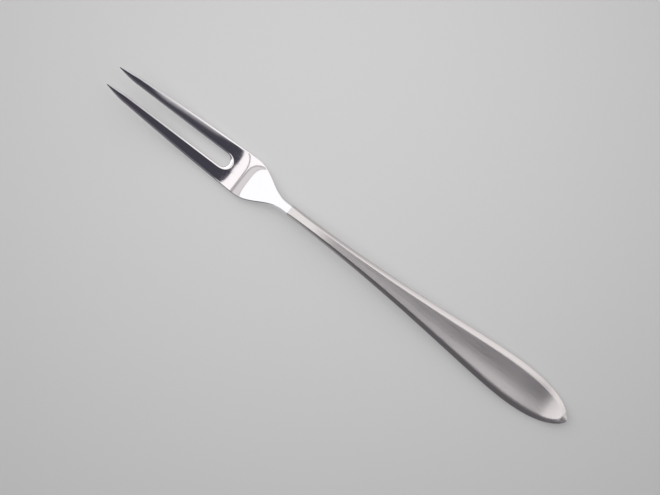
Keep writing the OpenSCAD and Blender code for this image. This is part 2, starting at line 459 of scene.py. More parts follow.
@dataclass(frozen=True)
class MattPaper:
    """Pale matt paper, with sizes in millimetres.

    The eye sees a plain tone without gloss, lightest at one place and dimmer round it: a painted pool of
    light, with a faint painted glow where it is seen.
    """

    name: str = "paper_matt_painted_light_pool"
    # Tones of the painted pool of light: at its middle, and where it is dimmest
    light: str = "#DDDDDD"
    dim: str = "#B6B6B6"
    # Distance from the middle of the painted pool of light at which the tone is dimmest
    painted_light_reach: float = 300.0
    roughness: float = 0.9
    gloss: float = 0.1
    # Part of the tone that the paper gives off as a painted glow where the camera or the steel sees it,
    # which keeps the fork's shadow faint
    painted_glow_part: float = 0.35
    SUMS: ClassVar[tuple[Sum, ...]] = (
        Sum("away", "SUBTRACT", ("place", "lightest"), VECTOR_MATH),
        Sum("distance", "LENGTH", ("away",), VECTOR_MATH, "Value"),
        Sum("mirrored", "MAXIMUM", ("Is Glossy Ray", "Is Transmission Ray")),
        Sum("seen", "MAXIMUM", ("Is Camera Ray", "mirrored")),
        Sum("part", "MULTIPLY", ("seen", "painted_glow_part")),
    )

    def make(self, lightest: Vector) -> bpy.types.Material:
        """Build the material.

        Args:
            lightest: Middle of the painted pool of light, where the paper is lightest, in metres.

        Returns:
            Paper with its painted pool of light.
        """
        material = bpy.data.materials.new(self.name)
        tree = empty_tree(material)
        known = dict(add_node(tree, "ShaderNodeLightPath").outputs.items())
        known["place"] = add_node(tree, "ShaderNodeTexCoord").outputs["Object"]
        found = add_sums(tree, self.SUMS, {**known, "lightest": lightest, "painted_glow_part": self.painted_glow_part})
        tones = (linear(self.light), linear(self.dim))
        # Painted pool of light: the tone dims with the distance from its middle
        tone = fade(tree, Fade.SOFT, found["distance"], (0.0, self.painted_light_reach * MM), tones)
        matt = add_node(
            tree,
            "ShaderNodeBsdfPrincipled",
            inputs={"Base Color": tone, "Roughness": self.roughness, "Specular IOR Level": self.gloss},
        )
        # Painted light: the paper glows with its tone for the camera and the steel, which lifts the
        # fork's shadow
        own = add_node(tree, "ShaderNodeEmission", inputs={"Color": tone})
        paper = add_node(
            tree,
            "ShaderNodeMixShader",
            inputs={0: found["part"], 1: matt.outputs["BSDF"], 2: own.outputs[0]},
        )
        add_node(tree, "ShaderNodeOutputMaterial", inputs={"Surface": paper.outputs[0]})
        return material


@dataclass(frozen=True)
class SideView:
    """The fork from the side, in millimetres at a distance u from the handle's end.

    It lies on a small flat under the belly of its head and another under the heel of its handle.
    """

    overall: float
    joint: float
    end_len: float = 24.0
    # Height of the underside at the crest of the arch, the points and the handle's end
    crest_rise: float = 4.2
    point_rise: float = 12.0
    end_rise: float = 1.4
    # How far the heel would dip below the belly if it were not flat, and how fast the end curls up
    heel_dip: float = 0.2
    end_curl: float = 1.4
    # Places of the crest behind the joint, of the belly ahead of it, and of the heel
    crest_back: float = 18.3
    belly_ahead: float = 23.5
    heel: float = 10.5
    # Lengths of the bends at crest and belly, which the straight shank joins
    crest_bend: float = 7.0
    belly_bend: float = 12.5
    # How late the arch falls from crest to heel, 1 is evenly
    arch_bow: float = 1.4
    # How much is taken off below to make the flats that it rests on
    rest_depth: float = 0.12
    # Length to either side over which the bends of the top are eased, and the points taken there
    top_ease: float = 2.2
    ease_points: int = 5
    point_t: float = 0.9
    palm_t: float = 2.2
    neck_t: float = 3.2
    handle_t: float = 3.0
    end_t: float = 2.4

    @classmethod
    def from_frame(cls) -> "SideView":
        """Read the lengths from the CAD part.

        Returns:
            Side view with its length and its joint where the CAD part has them.
        """
        low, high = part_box("handle")
        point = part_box("fork_head")[1]
        return cls(overall=(point.x - low.x) / MM, joint=(high.x - low.x) / MM)

    @property
    def crest(self) -> float:
        """Place of the crest of the arch."""
        return self.joint - self.crest_back

    @property
    def belly(self) -> float:
        """Place of the low point of the head."""
        return self.joint + self.belly_ahead

    def under(self, u: float) -> float:
        """Height of the underside before the rest flats are taken off.

        Args:
            u: Place along the fork.

        Returns:
            Height in millimetres, 0 at the belly.
        """
        if u < self.heel:
            return (self.end_rise + self.heel_dip) * (1 - u / self.heel) ** self.end_curl - self.heel_dip
        if u < self.crest:
            back = (self.crest - u) / (self.crest - self.heel)
            return self.crest_rise - (self.crest_rise + self.heel_dip) * back**self.arch_bow
        if u < self.belly:
            run, left = u - self.crest, self.belly - u
            slope = self.crest_rise / (run + left - (self.crest_bend + self.belly_bend) / 2)
            if run < self.crest_bend:
                return self.crest_rise - slope * run**2 / (2 * self.crest_bend)
            if left < self.belly_bend:
                return slope * left**2 / (2 * self.belly_bend)
            return slope * (left - self.belly_bend / 2)
        return self.point_rise * ((u - self.belly) / (self.overall - self.belly)) ** 2

    def thickness(self, u: float) -> float:
        """Thickness of the fork.

        Args:
            u: Place along the fork.

        Returns:
            Thickness in millimetres.
        """
        if u < self.end_len:
            return mix(self.end_t, self.handle_t, ease(u / self.end_len))
        if u < self.joint:
            return mix(self.handle_t, self.neck_t, ease((u - self.end_len) / (self.joint - self.end_len)))
        if u < self.belly:
            return mix(self.neck_t, self.palm_t, ease((u - self.joint) / (self.belly - self.joint)))
        return mix(self.palm_t, self.point_t, ((u - self.belly) / (self.overall - self.belly)) ** 2)

    def top(self, u: float) -> float:
        """Height of the top at u, with its bends eased."""
        near = [self.under(u + self.top_ease * share) for share in np.linspace(-1, 1, self.ease_points)]
        return sum(near) / len(near) - self.rest_depth + self.thickness(u)

    def floor(self, u: float) -> float:
        """Height of the underside at u, flat where the fork rests."""
        return max(0.0, self.under(u) - self.rest_depth)

    def place(self, u: float, y: float, z: float) -> Point:
        """Point of the frame, in metres."""
        return (u - self.overall / 2) * MM, y * MM, z * MM


@dataclass(frozen=True)
class EdgePoint:
    """Point of the head's outline, the way into the metal, and the width of the edge there."""

    u: float
    y: float
    into_u: float
    into_y: float
    width: float

    def inside(self, share: float) -> tuple[float, float]:
        """Place across the edge, at a share of its width."""
        return self.u + self.into_u * self.width * share, self.y + self.into_y * self.width * share

    def mirrored(self) -> "EdgePoint":
        """The same point on the other side of the fork."""
        return EdgePoint(self.u, -self.y, self.into_u, -self.into_y, self.width)


@dataclass
class ForkHead:
    """Tines, palm and neck, forged in one piece and polished, with sizes in millimetres."""

    side: SideView
    width: float
    tine_len: float = 52.9
    web_len: float = 8.1
    shoulder_len: float = 17.9
    slot_w: float = 5.4
    tine_w: float = 3.0
    # Length of a tine's point, the distance between the two points, and the width left at the tip
    point_len: float = 9.8
    point_pitch: float = 7.8
    point_flat: float = 0.3
    # How late a tine slims towards its point, 1 is evenly
    tine_bow: float = 1.5
    neck_w: float = 4.5
    tine_edge_w: float = 0.7
    palm_edge_w: float = 0.4
    crotch_edge_w: float = 1.5
    neck_edge_w: float = 0.8
    # Fall of the steep top edges of the neck, and rise of its lower ones
    neck_fall: float = 1.2
    neck_rise: float = 0.45
    # Roll-off that the buffing wheel leaves along the outer edges: its fall and width, how closely
    # it keeps to the edge, and the length over which it fades towards the points
    roll_fall: float = 0.14
    roll_w: float = 7.0
    roll_power: int = 4
    roll_run: float = 22.0
    # Fall of a rounded edge as a share of its width, and the most of the thickness that it takes
    edge_slope: float = 0.7
    edge_most: float = 0.36
    # Length over which the palm's crisp edges turn into the round ones of the tines
    edge_run: float = 16.0
    # Largest share of a tine's width that one edge may take
    edge_room: float = 0.3
    # Steps of the outline along neck, shoulder, tine and point, round the tip, and back along the
    # slot and round its bottom
    neck_steps: int = 4
    shoulder_steps: int = 48
    tine_steps: int = 76
    point_steps: int = 22
    tip_steps: int = 12
    slot_steps: int = 60
    crotch_steps: int = 28
    # Distance to either side at which an edge's slope is taken
    slope_step: float = 0.05
    edge_rings: int = 8
    # Ring on the flat just inside the edge, which keeps the flat's shading flat
    support: float = 1.15
    # Spacing of the points on the flats, the room left beside that ring, and the distance within
    # which two of them are one
    grid: float = 1.2
    grid_room: float = 0.4
    plan_merge: float = 1e-6

    @classmethod
    def from_frame(cls, side: SideView) -> "ForkHead":
        """Head as wide as the CAD one."""
        low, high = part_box("fork_head")
        return cls(side=side, width=(high.y - low.y) / MM)

    def __post_init__(self) -> None:
        """Work out the places along the fork."""
        self.slot_r = self.slot_w / 2
        self.crotch = self.side.overall - self.tine_len
        self.eye = self.crotch + self.slot_r
        self.palm = self.crotch - self.web_len
        self.shoulder = self.palm - self.shoulder_len
        self.point = self.side.overall - self.point_len

    def point_size(self, u: float) -> tuple[float, float]:
        """Size of a tine's pointed end.

        Args:
            u: Place along the fork.

        Returns:
            Width of the tine, and the distance of its middle from the centre line.
        """
        share = within((self.side.overall - u) / self.point_len)
        wide = mix(self.point_flat, self.tine_w, math.sin(math.pi / 2 * share))
        return wide, mix(self.point_pitch / 2, self.slot_r + self.tine_w / 2, share)

    def outer(self, u: float) -> float:
        """Outer edge of the head.

        Args:
            u: Place along the fork.

        Returns:
            Distance of the edge from the centre line.
        """
        if u <= self.palm:
            return mix(self.neck_w / 2, self.width / 2, ease((u - self.shoulder) / self.shoulder_len))
        if u <= self.point:
            share = ((u - self.palm) / (self.point - self.palm)) ** self.tine_bow
            return mix(self.width / 2, self.slot_r + self.tine_w, share)
        wide, middle = self.point_size(u)
        return middle + wide / 2

    def inner(self, u: float) -> float:
        """Inner edge of a tine, in front of the slot's round end.

        Args:
            u: Place along the fork.

        Returns:
            Distance of the edge from the centre line.
        """
        if u <= self.point:
            return self.slot_r
        wide, middle = self.point_size(u)
        return middle - wide / 2

    def neck_share(self, u: float) -> float:
        """Blend from the rounded edges of the head, 0, to the straight bevels of the neck, 1."""
        return 1 - ease((u - self.side.joint) / self.shoulder_len)

    def side_point(self, u: float, outside: bool) -> EdgePoint:
        """Point of an outer or inner edge.

        Args:
            u: Place along the fork.
            outside: True for the outer edge, False for the edge along the slot.

        Returns:
            The point, with its edge no wider than the tine has room for.
        """
        edge = self.outer if outside else self.inner
        slope = (edge(u + self.slope_step) - edge(u - self.slope_step)) / (2 * self.slope_step)
        run = math.hypot(1, slope)
        sign = -1 if outside else 1
        wide = self.tine_edge_w
        if outside:
            crisp = mix(self.palm_edge_w, self.neck_edge_w, self.neck_share(u))
            wide = mix(crisp, self.tine_edge_w, ease((u - self.palm) / self.edge_run))
        if u > self.eye:
            wide = min(wide, (self.outer(u) - self.inner(u)) * self.edge_room)
        return EdgePoint(u, edge(u), -sign * slope / run, sign / run, wide)

    def half_outline(self) -> list[EdgePoint]:
        """Outline of one half.

        Returns:
            Points from the joint round the tine to the bottom of the slot.
        """
        nose = self.point_flat / 2
        tip = self.side.overall - nose
        taper = self.point_len - nose
        pointed = [tip - taper * math.cos(math.pi / 2 * t) for t in steps(0, 1, self.point_steps)]
        outer_u = [self.side.joint, *steps(self.side.joint, self.shoulder, self.neck_steps)]
        outer_u += steps(self.shoulder, self.palm, self.shoulder_steps)
        outer_u += steps(self.palm, self.point, self.tine_steps) + pointed
        inner_u = [*reversed(pointed), *steps(self.point, self.eye, self.slot_steps)[:-1]]
        wide, middle = self.point_size(tip)
        tip_edge = self.side_point(tip, True).width
        found = [self.side_point(u, True) for u in outer_u]
        for t in steps(0, 1, self.tip_steps)[:-1]:
            c, s = math.cos(math.pi * (0.5 - t)), math.sin(math.pi * (0.5 - t))
            found.append(EdgePoint(tip + nose * c, middle + wide / 2 * s, -c, -s, tip_edge))
        found += [self.side_point(u, False) for u in inner_u]
        for t in (0, *steps(0, 1, self.crotch_steps)):
            c, s = math.cos(math.pi / 2 * (1 + t)), math.sin(math.pi / 2 * (1 + t))
            edge = mix(self.tine_edge_w, self.crotch_edge_w, c**2)
            found.append(EdgePoint(self.eye + self.slot_r * c, self.slot_r * s, c, s, edge))
        return found

    def roll(self, u: float, y: float) -> float:
        """Buffed roll-off, most at the outer edges and none at the joint.

        Args:
            u: Place along the fork.
            y: Place across it.

        Returns:
            Fall of the top in millimetres.
        """
        room = (1 - self.neck_share(u)) * ease((self.side.overall - u) / self.roll_run)
        inward = within((self.outer(u) - abs(y)) / self.roll_w)
        return self.roll_fall * room * (1 - inward) ** self.roll_power

    def height(self, u: float, y: float, share: float, width: float, under: bool) -> float:
        """Height of a point of the skin.

        Args:
            u: Place along the fork.
            y: Place across it.
            share: Place across the edge, 1 and more on the flat.
            width: Width of the edge.
            under: True on the underside.

        Returns:
            Height above the table in millimetres.
        """
        n = self.neck_share(u)
        rounded = min(self.edge_most * self.side.thickness(u), width * self.edge_slope)
        fall = mix(rounded, self.neck_rise if under else self.neck_fall, n) * edge_fall(share, n)
        return self.side.floor(u) + fall if under else self.side.top(u) - fall - self.roll(u, y)

    def build(self) -> bpy.types.Object:
        """Mesh of the head: edge rings round the outline, and flats inside them.

        Returns:
            The head's object.
        """
        half = self.half_outline()
        outline = half + [p.mirrored() for p in reversed(half[:-1])]
        shares = [1 - math.cos(math.pi / 2 * k / self.edge_rings) for k in range(self.edge_rings + 1)]
        shares.append(self.support)
        verts: list[Point] = []
        rings: list[list[int]] = []
        for under in (False, True):
            for share in shares if under else reversed(shares):
                rings.append(list(range(len(verts), len(verts) + len(outline))))
                for point in outline:
                    u, y = point.inside(share)
                    verts.append(self.side.place(u, y, self.height(u, y, share, point.width, under)))
        faces: list[tuple[int, ...]] = []
        for first, second in zip(rings, rings[1:]):
            faces += [(first[i], first[i + 1], second[i + 1], second[i]) for i in range(len(outline) - 1)]
        faces.append(tuple([r[0] for r in rings] + [r[-1] for r in reversed(rings)]))
        for under, ring in ((False, rings[0]), (True, rings[-1])):
            faces += self.flat_faces(verts, ring, under)
        mesh = bpy.data.meshes.new("fork_head_visual")
        mesh.from_pydata(verts, [], faces)
        return show_piece("fork_head_visual", mesh)

    def flat_faces(self, verts: list[Point], ring: list[int], under: bool) -> list[tuple[int, ...]]:
        """Fill the flat inside a ring, and add the points that it needs.

        Args:
            verts: Points of the mesh, to which the inner points are added.
            ring: Points round the flat.
            under: True on the underside.

        Returns:
            Triangles of the flat.
        """
        middle = self.side.overall / 2
        known = list(ring)
        plan = [Vector((verts[i][0] / MM + middle, verts[i][1] / MM)) for i in ring]
        margin = self.tine_edge_w * self.support + self.grid_room
        rows = int((self.crotch - self.side.joint) / self.grid)
        for u in steps(self.side.joint, self.crotch, rows)[:-1]:
            reach = self.outer(u) - margin
            count = int(reach / self.grid)
            for y in (reach * i / max(1, count) for i in range(-count, count + 1)):
                if reach > 0 and math.hypot(u - self.eye, y) > self.slot_r + self.crotch_edge_w + margin:
                    known.append(len(verts))
                    plan.append(Vector((u, y)))
                    verts.append(self.side.place(u, y, self.height(u, y, 1.0, 0.0, under)))
        border = [list(range(len(ring)))]
        filled = delaunay_2d_cdt(plan, [], border, INSIDE_ONLY, self.plan_merge)
        triangles, origin = filled[2:4]
        return [tuple(known[origin[i][0]] for i in t) for t in triangles]

    def dress(self, piece: bpy.types.Object, steel: bpy.types.Material) -> None:
        """Give the head its finish and its place on the part.

        Args:
            piece: The head's object.
            steel: Its finish.
        """
        piece.data.materials.append(steel)
        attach(piece, BODY)
        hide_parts("fork_head")


@dataclass(frozen=True)
class Station:
    """Section of the handle at one place, in millimetres.

    It has the half widths of the whole, of the hollow face and of the flat below. The shares are
    those of the rim's full breadth, of its full fall, and of the way from the hollow's end to the tip.
    """

    u: float
    half: float
    face: float
    flat: float
    flare: float = 1.0
    taper: float = 1.0
    nose: float = 0.0


def skin_point(
    widths: Point, heights: Point = (0, 0, 0), keel: float = 0, hollow: float = 0, crown: float = 0
) -> np.ndarray:
    """Point of the handle's section, as shares of a station's sizes.

    Args:
        widths: Shares of the half widths of face, edge and flat.
        heights: Shares of the heights of rim, edge top and edge foot.
        keel: Share of the height of the flat below.
        hollow: Share of the hollow's depth.
        crown: Share of the crown round the tip.

    Returns:
        The shares in one row.
    """
    return np.array([*widths, *heights, keel, hollow, crown], float)


@dataclass
class Handle:
    """Arched handle with a hollow top inside a bevelled rim, with sizes in millimetres."""

    side: SideView
    width: float
    flare_len: float = 101.0
    neck_w: float = 4.5
    # Half width of the tip's round, and how full the outline is round the end and along the flare
    end_nose: float = 1.5
    end_full: float = 0.8
    flare_full: float = 0.18
    flare_slim: float = 0.48
    # The hollow ends in a round of its own, short of the handle's tip
    face_inset: float = 2.4
    face_nose: float = 1.6
    face_full: float = 0.7
    rim_bevel_w: float = 2.1
    rim_fall: float = 1.2
    # How much the rim's bevel is crowned, 0 is straight
    bevel_crown: float = 0.15
    neck_bevel_w: float = 0.8
    neck_fall: float = 1.2
    under_rim_w: float = 2.2
    under_rim_rise: float = 0.8
    under_neck_w: float = 0.8
    under_neck_rise: float = 0.45
    # How straight the lower bevel is, 0 is round
    under_straight: float = 0.4
    # Depth of the hollow at the widest place, the share of it that is left towards the end, and
    # how softly its section runs out at the rim
    dish_depth: float = 0.33
    dish_end: float = 0.6
    dish_power: float = 1.5
    # How early the rim broadens behind the joint, and the share of its fall that is left at the tip
    rim_power: float = 0.6
    tip_fall: float = 0.55
    # How closely the rim's round crown keeps to the tip
    crown_power: float = 3.0
    # Narrowest strip kept along the middle, as a share of the half width
    strip: float = 0.02
    # Sections along the end, the flare and the neck, and how closely they crowd towards the tip
    end_steps: int = 64
    flare_steps: int = 110
    land_steps: int = 8
    end_crowd: float = 1.5
    # Points at which the curve of the hollow's end is looked up
    face_steps: int = 400
    # Places of the section's points across the hollow, down the bevel, round below and on the flat
    face_at: tuple[float, ...] = (0, 0.12, 0.24, 0.36, 0.48, 0.6, 0.7, 0.78, 0.85, 0.9)
    bevel_at: tuple[float, ...] = (0.32, 0.45, 0.58, 0.7, 0.82)
    under_at: tuple[float, ...] = (0.25, 0.4, 0.58, 0.78, 1)
    flat_at: tuple[float, ...] = (0.8, 0.4, 0)
    # Places where the small rounds over the rim, the edge and its foot begin and end
    rim_round: tuple[float, float] = (0.93, 0.2)
    edge_round: tuple[float, float] = (0.92, 0.25)
    foot_round: tuple[float, float] = (0.6, 0.12)
    round_steps: int = 4
    NUMBERS: ClassVar[tuple[str, ...]] = (
        "along", "top", "low", "flare", "taper", "nose", "sag", "crown_room",
        "keel_share", "hollow_share", "crown_share",
    )
    VECTORS: ClassVar[tuple[str, ...]] = ("widths", "width_shares", "height_shares")
    LOFT: ClassVar[tuple[Sum, ...]] = (
        Sum("fall spread", "SUBTRACT", ("Rim Fall", "Neck Fall")),
        Sum("full fall", "MULTIPLY_ADD", ("flare", "fall spread", "Neck Fall")),
        Sum("fall", "MULTIPLY", ("full fall", "taper")),
        Sum("rise spread", "SUBTRACT", ("Rim Rise", "Neck Rise")),
        Sum("rise", "MULTIPLY_ADD", ("flare", "rise spread", "Neck Rise")),
        Sum("edge top", "SUBTRACT", ("top", "fall")),
        Sum("edge foot", "ADD", ("low", "rise")),
        Sum("nose fall", "MULTIPLY", ("fall", "nose")),
        Sum("rim", "SUBTRACT", ("top", "nose fall")),
        Sum("keel", "MULTIPLY_ADD", ("rise", "nose", "low")),
        Sum("hollow", "MULTIPLY", ("Hollow Depth", "sag")),
        Sum("heights", "", ("rim", "edge top", "edge foot"), COMBINE),
        Sum("across", "DOT_PRODUCT", ("widths", "width_shares"), VECTOR_MATH, "Value"),
        Sum("skin height", "DOT_PRODUCT", ("heights", "height_shares"), VECTOR_MATH, "Value"),
        Sum("above", "MULTIPLY_ADD", ("keel", "keel_share", "skin height")),
        Sum("hollow part", "MULTIPLY", ("hollow", "hollow_share")),
        Sum("crown", "MULTIPLY", ("fall", "crown_room")),
        Sum("crowned", "MULTIPLY_ADD", ("crown", "crown_share", "above")),
        Sum("height", "SUBTRACT", ("crowned", "hollow part")),
        Sum("point", "", ("along", "across", "height"), COMBINE),
    )

    @classmethod
    def from_frame(cls, side: SideView) -> "Handle":
        """Handle as wide as the CAD one."""
        low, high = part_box("handle")
        return cls(side=side, width=(high.y - low.y) / MM)

    def face_end(self, u: float) -> float:
        """Hollow in the broad end of the handle, on its own curve.

        Args:
            u: Place along the fork.

        Returns:
            Half width of the hollow, 0 in front of its end.
        """
        end = self.side.end_len
        wide = self.width / 2 - self.rim_bevel_w
        shares = [0, *steps(0, 1, self.face_steps)]
        curve = (self.face_inset, self.face_inset, end * (1 - self.face_full), end)
        along = [cubic(*curve, t) for t in shares]
        across = [cubic(0, self.face_nose, wide, wide, t) for t in shares]
        return float(np.interp(u, along, across, left=0.0))

    def flare_share(self, u: float) -> float:
        """Share of the rim's full breadth at u, 0 at the joint and 1 in the broad end."""
        run = self.side.joint - self.side.end_len
        return within((self.side.joint - u) / run) ** self.rim_power

    def end_station(self, t: float) -> Station:
        """Section of the broad end.

        Args:
            t: Share of the way along the end's outline, 0 at the tip.

        Returns:
            The section there.
        """
        wide, end = self.width / 2, self.side.end_len
        u = cubic(0, 0, end * (1 - self.end_full), end, t)
        half = cubic(0, self.end_nose, wide, wide, t)
        face = max(self.strip * half, self.face_end(u))
        flat = max(self.strip * half, face - (self.under_rim_w - self.rim_bevel_w))
        taper = mix(self.tip_fall, 1, ease(u / end))
        return Station(u, half, face, flat, taper=taper, nose=within(1 - u / self.face_inset))

    def shank_station(self, u: float, half: float, skew: float) -> Station:
        """Section between the broad end and the joint.

        Args:
            u: Place along the fork.
            half: Half width there.
            skew: How much wider an edge is because the outline slants, 1 where it doesn't.

        Returns:
            The section there.
        """
        flare = self.flare_share(u)
        face = half - mix(self.neck_bevel_w, self.rim_bevel_w, flare) * skew
        flat = half - mix(self.under_neck_w, self.under_rim_w, flare) * skew
        return Station(u, half, face, flat, flare)

    def stations(self) -> list[Station]:
        """Sections of the handle.

        Returns:
            Sections from the handle's end to the joint.
        """
        wide, slim, end = self.width / 2, self.neck_w / 2, self.side.end_len
        shank = end + self.flare_len
        full, lean = self.flare_len * self.flare_full, self.flare_len * self.flare_slim
        curve_u = (end, end + full, shank - lean, shank)
        curve_w = (wide, wide, slim, slim)
        found = [self.end_station(t**self.end_crowd) for t in steps(0, 1, self.end_steps)]
        for t in steps(0, 1, self.flare_steps):
            du, dw = cubic_slope(*curve_u, t), cubic_slope(*curve_w, t)
            skew = math.hypot(du, dw) / du
            found.append(self.shank_station(cubic(*curve_u, t), cubic(*curve_w, t), skew))
        land = steps(shank, self.side.joint, self.land_steps)
        return found + [self.shank_station(u, slim, 1.0) for u in land]

    def sag(self, at: Station) -> float:
        """Share of the hollow's depth at a station."""
        wide = at.face / (self.width / 2 - self.rim_bevel_w)
        return at.flare * wide**2 * mix(self.dish_end, 1, ease(at.u / (2 * self.side.end_len)))

    def crown_room(self, at: Station) -> float:
        """Share of the fall by which the rim is crowned at a station, all of it only round the tip."""
        return (1 - at.nose) * (1 - at.face / at.half) ** self.crown_power

    def section(self) -> np.ndarray:
        """Closed section of the handle.

        Returns:
            One row a point, as skin_point gives it.
        """

        def face(c: float) -> np.ndarray:
            """Point of the hollow at the share c of its half width."""
            return skin_point((c, 0, 0), (1, 0, 0), hollow=(1 - c * c) ** self.dish_power)

        def bevel(q: float) -> np.ndarray:
            """Point of the rim's crowned bevel, 0 at the hollow and 1 at the edge."""
            down = q - self.bevel_crown * q * (1 - q)
            return skin_point((1 - q, q, 0), (1 - down, down, 0), crown=q * (1 - q))

        def wall(q: float) -> np.ndarray:
            """Point of the upright edge, 0 at its top and 1 at its foot."""
            return skin_point((0, 1, 0), (0, 1 - q, q))

        def under(q: float) -> np.ndarray:
            """Point of the rounded lower bevel, 0 at the edge and 1 at the flat."""
            left = edge_fall(q, self.under_straight)
            return skin_point((0, 1 - q, q), (0, 0, left), keel=1 - left)

        def fillet(a: np.ndarray, corner: np.ndarray, b: np.ndarray) -> list[np.ndarray]:
            """Small round over a corner, from a to b."""
            shares = (0, *steps(0, 1, self.round_steps))
            return [(1 - t) ** 2 * a + 2 * t * (1 - t) * corner + t * t * b for t in shares]

        half = [face(c) for c in self.face_at]
        half += fillet(face(self.rim_round[0]), face(1), bevel(self.rim_round[1]))
        half += [bevel(q) for q in self.bevel_at]
        half += fillet(bevel(self.edge_round[0]), bevel(1), wall(self.edge_round[1]))
        half += fillet(wall(self.foot_round[0]), wall(1), under(self.foot_round[1]))
        half += [under(q) for q in self.under_at]
        half += [skin_point((0, 0, c), keel=1) for c in self.flat_at]
        other = np.array(half[-2:0:-1])
        other[:, :3] *= -1
        return np.vstack([np.array(half), other])

    def sizes(self) -> dict[str, float]:
        """Sizes that the loft takes.

        Returns:
            Sizes in metres, by the names of the loft's inputs.
        """
        return {
            "Rim Fall": self.rim_fall * MM,
            "Neck Fall": self.neck_fall * MM,
            "Rim Rise": self.under_rim_rise * MM,
            "Neck Rise": self.under_neck_rise * MM,
            "Hollow Depth": self.dish_depth * MM,
        }

    def loft_tree(self) -> tuple[bpy.types.NodeTree, dict[str, str]]:
        """Geometry tree that lofts the section along the stations.

        Returns:
            The tree, and the identifier of each named input.
        """
        tree = bpy.data.node_groups.new("handle_loft", "GeometryNodeTree")
        tree.interface.new_socket("Geometry", in_out="OUTPUT", socket_type="NodeSocketGeometry")
        kinds = {"Stations": "Geometry", "Section": "Object", "Steel": "Material"}
        kinds.update(dict.fromkeys(self.sizes(), "Float"))
        names: dict[str, str] = {}
        for label, kind in kinds.items():
            socket = tree.interface.new_socket(label, in_out="INPUT", socket_type=f"NodeSocket{kind}")
            names[label] = socket.identifier
        given = add_node(tree, "NodeGroupInput").outputs
        known = {size: given[size] for size in self.sizes()}
        for kind, labels in (("FLOAT", self.NUMBERS), ("FLOAT_VECTOR", self.VECTORS)):
            for label in labels:
                read = add_node(
                    tree, "GeometryNodeInputNamedAttribute", {"data_type": kind}, {"Name": label}
                )
                known[label] = read.outputs["Attribute"]
        spine = add_node(tree, "GeometryNodeMeshToCurve", inputs={"Mesh": given["Stations"]})
        ring = add_node(tree, "GeometryNodeObjectInfo", inputs={"Object": given["Section"]})
        profile = add_node(tree, "GeometryNodeMeshToCurve", inputs={"Mesh": ring.outputs["Geometry"]})
        skin = add_node(
            tree,
            "GeometryNodeCurveToMesh",
            inputs={
                "Curve": spine.outputs["Curve"],
                "Profile Curve": profile.outputs["Curve"],
                "Fill Caps": True,
            },
        )
        placed = add_node(
            tree,
            "GeometryNodeSetPosition",
            inputs={
                "Geometry": skin.outputs["Mesh"],
                "Position": add_sums(tree, self.LOFT, known)["point"],
            },
        )
        whole = add_node(tree, "GeometryNodeRealizeInstances", inputs={"Geometry": placed.outputs[0]})
        steel = add_node(
            tree,
            "GeometryNodeSetMaterial",
            inputs={"Geometry": whole.outputs[0], "Material": given["Steel"]},
        )
        add_node(tree, "NodeGroupOutput", inputs={0: steel.outputs[0]})
        return tree, names

    def build(self, steel: bpy.types.Material) -> bpy.types.Object:
        """Loft the handle.

        Args:
            steel: Finish that the tree sets on the skin.

        Returns:
            The handle's object, a plain mesh.
        """
        stations, section = self.stations(), self.section()
        spine = point_chain(
            "handle_stations",
            False,
            {
                "along": np.array([self.side.place(s.u, 0, 0)[0] for s in stations]),
                "widths": np.array([(s.face, s.half, s.flat) for s in stations]) * MM,
                "top": np.array([self.side.top(s.u) for s in stations]) * MM,
                "low": np.array([self.side.floor(s.u) for s in stations]) * MM,
                "flare": np.array([s.flare for s in stations]),
                "taper": np.array([s.taper for s in stations]),
                "nose": np.array([s.nose for s in stations]),
                "sag": np.array([self.sag(s) for s in stations]),
                "crown_room": np.array([self.crown_room(s) for s in stations]),
            },
        )
        ring = point_chain(
            "handle_section",
            True,
            {
                "width_shares": section[:, :3],
                "height_shares": section[:, 3:6],
                "keel_share": section[:, 6],
                "hollow_share": section[:, 7],
                "crown_share": section[:, 8],
            },
        )
        tree, names = self.loft_tree()
        loft = spine.modifiers.new("loft", "NODES")
        loft.node_group = tree
        for label, value in {**self.sizes(), "Section": ring, "Steel": steel}.items():
            loft[names[label]] = value
        graph = bpy.context.evaluated_depsgraph_get()
        mesh = bpy.data.meshes.new_from_object(spine.evaluated_get(graph), depsgraph=graph)
        for chain in (spine, ring):
            bpy.data.objects.remove(chain)
        return show_piece("handle_visual", mesh)

    def dress(self, piece: bpy.types.Object) -> None:
        """Give the handle its place on the part.

        Args:
            piece: The handle's object.
        """
        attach(piece, BODY)
        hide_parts("handle")


@dataclass(frozen=True)
class PanelEdge:
    """Edge of a panel in the room, square to the fork, and the tone beyond it.

    The edge lies so far towards the tines' points overhead, further by slant towards the right, and
    nearer by bow towards both sides.
    """

    forward: float
    slant: float
    tone: str
    bow: float = 0.0


